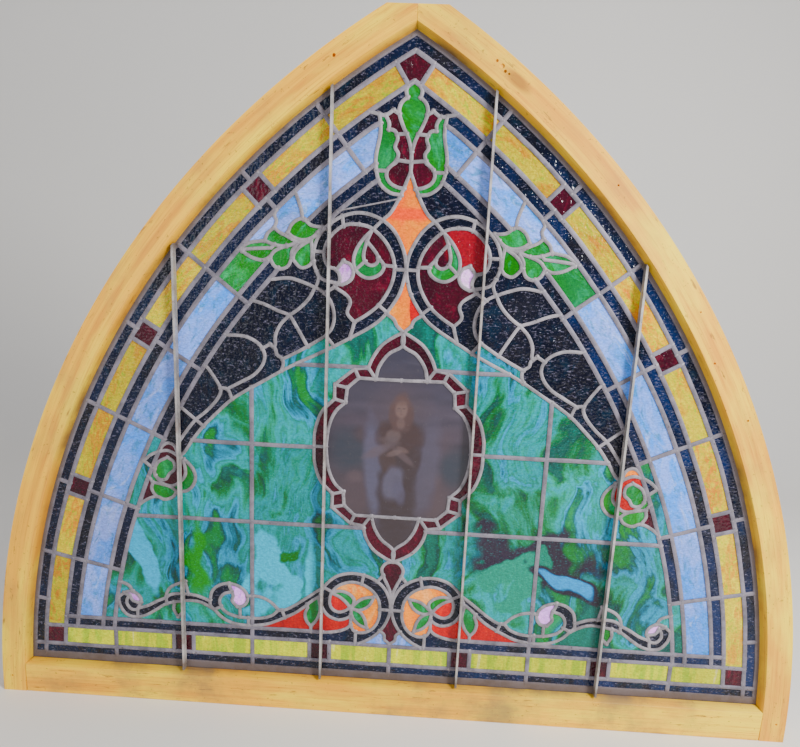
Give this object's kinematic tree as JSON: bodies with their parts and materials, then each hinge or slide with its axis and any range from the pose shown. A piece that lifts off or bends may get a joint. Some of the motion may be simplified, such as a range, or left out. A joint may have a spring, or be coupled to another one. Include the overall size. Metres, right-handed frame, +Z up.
{
  "type": "pointed arch stained glass window",
  "caption": "Pointed-arch stained glass window: a pine sash with saddle bars over a leaded panel of borders, hearts, wings and scrolls around a painted medallion.",
  "frame": {"origin": "middle of the underside of the bottom rail, halfway through the thickness of the sash", "axes": "+X along the width, -Y out of the front of the window with the saddle bars, +Z up to the crest"},
  "size_m": [1.2134, 0.038, 1.008],
  "materials": {
    "pine": "worn clear-finished softwood",
    "steel": "dull grey",
    "lead": "dull oxidised lead with solder joints",
    "navy": "dark blue hammered glass",
    "ruby": "dark ruby hammered glass",
    "amber": "streaky yellow opalescent glass",
    "blue": "streaky light blue opalescent glass",
    "teal": "streaky teal and green opalescent glass",
    "green": "mottled green opalescent glass",
    "peach": "peach opalescent glass",
    "lilac": "pale lilac opalescent glass",
    "smoke": "painted and fired glass",
    "red": "streaky red opalescent glass"
  },
  "bodies": {
    "root": {"amber_border_left": "amber", "amber_border_right": "amber", "apex_ruby": "ruby", "bottom_rail": "pine", "corner_ruby_left": "ruby", "corner_ruby_right": "ruby", "field_teal_left": "teal", "field_teal_right": "teal", "foot_amber": "amber", "foot_navy_left": "navy", "foot_navy_right": "navy", "foot_outer_navy": "navy", "foot_teal_left": "teal", "foot_teal_right": "teal", "heart_ruby_left": "ruby", "heart_ruby_right": "ruby", "inner_navy_left": "navy", "inner_navy_right": "navy", "lead_net": "lead", "leaf_spray_left": "green", "leaf_spray_right": "green", "left_stile": "pine", "light_blue_left": "blue", "light_blue_right": "blue", "medallion_border_left": "ruby", "medallion_border_right": "ruby", "medallion_crown": "smoke", "medallion_foot": "smoke", "medallion_picture": "smoke", "orange_teardrop": "peach", "outer_navy": "navy", "palmette": "ruby", "peach_lozenge": "peach", "red_corner_left": "red", "red_corner_right": "red", "right_stile": "pine", "rosette_left": "red", "rosette_right": "red", "ruby_foot": "ruby", "saddle_bar_1": "steel", "saddle_bar_2": "steel", "saddle_bar_3": "steel", "saddle_bar_4": "steel", "scroll_left": "navy", "scroll_pearl_left": "lilac", "scroll_pearl_right": "lilac", "scroll_right": "navy", "side_flower_left": "green", "side_flower_right": "green", "tulip_heart": "green", "tulip_petal_left": "green", "tulip_petal_right": "green", "upper_blue_left": "blue", "upper_blue_right": "blue", "upper_navy_left": "navy", "upper_navy_right": "navy", "wing_left": "navy", "wing_right": "navy"}
  },
  "joints": []
}
